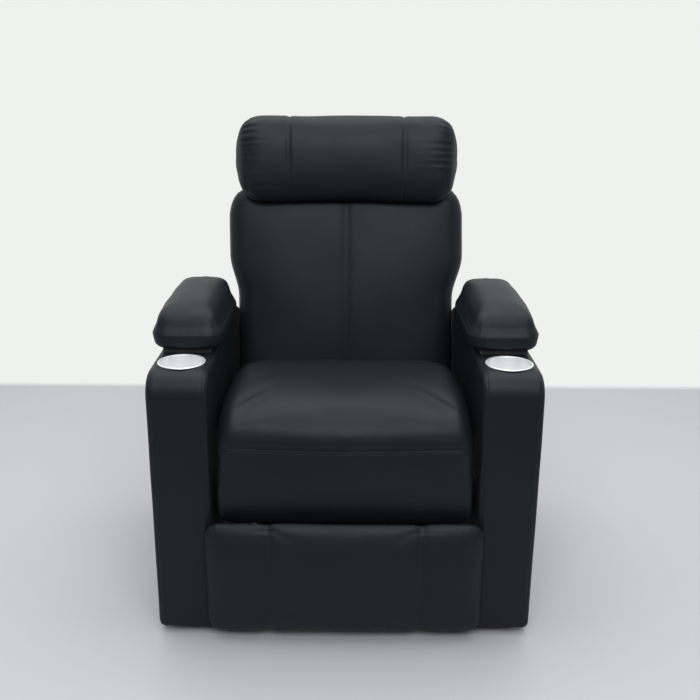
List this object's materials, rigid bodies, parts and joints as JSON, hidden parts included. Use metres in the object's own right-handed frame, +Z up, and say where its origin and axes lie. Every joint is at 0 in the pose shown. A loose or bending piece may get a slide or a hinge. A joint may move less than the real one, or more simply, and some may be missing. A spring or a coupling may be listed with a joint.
{
  "type": "cinema recliner seat",
  "caption": "Upholstered recliner armchair with a fold-out footrest, a gliding seat, a reclining back, and arms that hold cup holders and lidded storage boxes.",
  "frame": {"origin": "on the floor under the middle of the seat's overall box, its lead and plug left out", "axes": "+X to the viewer's right (the sitter's left), +Y to the rear, +Z up"},
  "size_m": [0.826, 0.8458, 1.0734],
  "materials": {
    "cover_leather": "soft black upholstery leather, fine grain, low cool sheen",
    "brushed_ring": "bright brushed steel, circular brushing on the rim",
    "frame_steel": "satin black powder coat",
    "bright_steel": "plain drawn steel",
    "plywood": "plain birch plywood",
    "moulded_plastic": "matt black moulded plastic, fine spark texture",
    "foot_plastic": "matt black moulded plastic",
    "bin_lining": "black felt lining",
    "cord_rubber": "matt black rubber"
  },
  "bodies": {
    "base": {"arm_cover_left": "cover_leather", "arm_cover_right": "cover_leather", "storage_bin_left": "bin_lining", "storage_bin_right": "bin_lining", "cup_holder_left": "brushed_ring", "cup_holder_right": "brushed_ring", "foot_front_left": "foot_plastic", "foot_front_right": "foot_plastic", "foot_rear_left": "foot_plastic", "foot_rear_right": "foot_plastic", "lid_hinge_fixed_left": "bright_steel", "lid_hinge_fixed_right": "bright_steel", "base_frame": "frame_steel", "power_supply": "moulded_plastic", "strain_relief": "cord_rubber", "power_lead": "cord_rubber", "power_lead_coil": "cord_rubber", "power_plug": "moulded_plastic", "switch_plate": "moulded_plastic"},
    "rear_swing_links": {"swing_link_rear_left": "frame_steel", "swing_link_rear_right": "frame_steel"},
    "front_swing_links": {"swing_link_front_left": "frame_steel", "swing_link_front_right": "frame_steel"},
    "seat": {"seat_plate_left": "frame_steel", "seat_plate_right": "frame_steel", "seat_rail_front": "frame_steel", "seat_rail_rear": "frame_steel", "seat_springs": "bright_steel", "seat_cushion": "cover_leather"},
    "back": {"back_cushion": "cover_leather", "back_frame": "plywood", "back_shell": "cover_leather", "back_bracket_left": "frame_steel", "back_bracket_right": "frame_steel", "headrest_pillow": "cover_leather", "headrest_board": "plywood"},
    "drive_links": {"drive_frame": "frame_steel"},
    "guide_links": {"guide_link_left": "frame_steel", "guide_link_right": "frame_steel"},
    "reach_links": {"reach_link_left": "frame_steel", "reach_link_right": "frame_steel"},
    "foot_links": {"foot_link_left": "frame_steel", "foot_link_right": "frame_steel"},
    "footrest": {"footrest_cushion": "cover_leather", "footrest_board": "plywood", "footrest_bracket_left": "frame_steel", "footrest_bracket_right": "frame_steel"},
    "actuator": {"actuator_housing": "moulded_plastic"},
    "actuator_rod": {"actuator_rod": "bright_steel"},
    "lid_left": {"lid_board_left": "bin_lining", "lid_pad_left": "cover_leather", "lid_hinge_moving_left": "bright_steel"},
    "lid_right": {"lid_board_right": "bin_lining", "lid_pad_right": "cover_leather", "lid_hinge_moving_right": "bright_steel"},
    "button_1": {"switch_button_1": "moulded_plastic"},
    "button_2": {"switch_button_2": "moulded_plastic"}
  },
  "joints": [
    {"name": "back_recline", "type": "hinge", "parent": "seat", "child": "back", "pos_m": [0, 0.15013, 0.3], "axis": [-1, 0, 0], "range_deg": [0, 35]},
    {"name": "rear_links_swing", "type": "hinge", "parent": "base", "child": "rear_swing_links", "pos_m": [0, 0.02513, 0.075], "axis": [1, 0, 0], "range_deg": [0, 60]},
    {"name": "seat_on_rear_links", "type": "hinge", "parent": "rear_swing_links", "child": "seat", "pos_m": [0, 0.08013, 0.17026], "axis": [1, 0, 0], "range_deg": [-60, 0]},
    {"name": "front_links_swing", "type": "hinge", "parent": "base", "child": "front_swing_links", "pos_m": [0, -0.26487, 0.075], "axis": [1, 0, 0], "range_deg": [0, 60]},
    {"name": "footrest_open", "type": "hinge", "parent": "seat", "child": "drive_links", "pos_m": [0, -0.18487, 0.2724], "axis": [-1, 0, 0], "range_deg": [0, 90.3]},
    {"name": "guide_links_swing", "type": "hinge", "parent": "seat", "child": "guide_links", "pos_m": [0, -0.1457, 0.25372], "axis": [-1, 0, 0], "range_deg": [0, 90.3]},
    {"name": "reach_links_swing", "type": "hinge", "parent": "drive_links", "child": "reach_links", "pos_m": [0, -0.14612, 0.11099], "axis": [-1, 0, 0], "range_deg": [-90.3, 0]},
    {"name": "footrest_turn", "type": "hinge", "parent": "reach_links", "child": "footrest", "pos_m": [0, -0.34767, 0.20712], "axis": [-1, 0, 0], "range_deg": [0, 86]},
    {"name": "foot_links_swing", "type": "hinge", "parent": "drive_links", "child": "foot_links", "pos_m": [0, -0.13281, 0.05556], "axis": [-1, 0, 0], "range_deg": [-88.2, 0]},
    {"name": "actuator_tilt", "type": "hinge", "parent": "seat", "child": "actuator", "pos_m": [0, 0.10713, 0.201], "axis": [1, 0, 0], "range_deg": [0, 1.74]},
    {"name": "actuator_extend", "type": "slide", "parent": "actuator", "child": "actuator_rod", "axis": [0, -0.9918, 0.128], "range_m": [0, 0.0776]},
    {"name": "lid_left_open", "type": "hinge", "parent": "base", "child": "lid_left", "pos_m": [-0.343, 0.13313, 0.6047], "axis": [-1, 0, 0], "range_deg": [0, 60]},
    {"name": "lid_right_open", "type": "hinge", "parent": "base", "child": "lid_right", "pos_m": [0.343, 0.13313, 0.6047], "axis": [-1, 0, 0], "range_deg": [0, 60]},
    {"name": "button_1_press", "type": "slide", "parent": "base", "child": "button_1", "axis": [1, 0, 0], "range_m": [0, 0.002], "stiffness_N_per_m": 400},
    {"name": "button_2_press", "type": "slide", "parent": "base", "child": "button_2", "axis": [1, 0, 0], "range_m": [0, 0.002], "stiffness_N_per_m": 400}
  ],
  "couplings": [
    {"joint": "rear_links_swing", "follows": "back_recline", "ratio": 1.7143},
    {"joint": "seat_on_rear_links", "follows": "back_recline", "ratio": -1.7143},
    {"joint": "front_links_swing", "follows": "back_recline", "ratio": 1.7143},
    {"joint": "guide_links_swing", "follows": "footrest_open", "ratio": 1},
    {"joint": "reach_links_swing", "follows": "footrest_open", "ratio": -1},
    {"joint": "footrest_turn", "follows": "footrest_open", "ratio": 0.95238},
    {"joint": "foot_links_swing", "follows": "footrest_open", "ratio": -0.97662},
    {"joint": "actuator_tilt", "follows": "footrest_open", "ratio": 0.019175},
    {"joint": "actuator_extend", "follows": "footrest_open", "m_per_rad": 0.049166}
  ]
}
